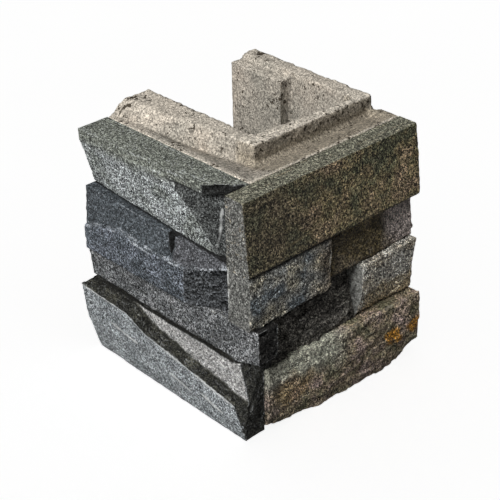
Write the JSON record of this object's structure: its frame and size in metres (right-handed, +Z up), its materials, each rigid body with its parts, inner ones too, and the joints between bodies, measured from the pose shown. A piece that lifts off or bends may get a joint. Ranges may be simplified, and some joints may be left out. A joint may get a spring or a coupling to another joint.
{
  "type": "concrete corner block",
  "caption": "Hollow U-shaped concrete corner block with split stone strips bonded to its two outer faces and a raised tongue that keys into the block laid above.",
  "frame": {"origin": "under the middle of the whole block, on its base", "axes": "+X along the front wing from the outer corner to the third leg, +Y along the left wing from the outer corner to its free end, +Z up"},
  "size_m": [0.1956, 0.189, 0.2105],
  "materials": {
    "concrete": "cast, open-pored and sandy",
    "grey_quartzite": "split, sparkling grain",
    "blue_slate": "split along the cleavage",
    "pale_slate": "split along the cleavage",
    "brown_slate": "natural bed face, weathered",
    "grey_slate": "split, rough",
    "black_slate": "broken across the cleavage",
    "rusty_slate": "split, iron stained"
  },
  "bodies": {
    "root": {"concrete_block": "concrete", "left_top_stone": "grey_quartzite", "left_second_stone": "blue_slate", "left_third_stone": "grey_slate", "left_bottom_stone": "pale_slate", "front_top_stone": "brown_slate", "front_second_left_stone": "grey_slate", "front_second_right_stone": "brown_slate", "front_third_left_stone": "black_slate", "front_third_right_stone": "grey_slate", "front_bottom_stone": "rusty_slate"}
  },
  "joints": []
}
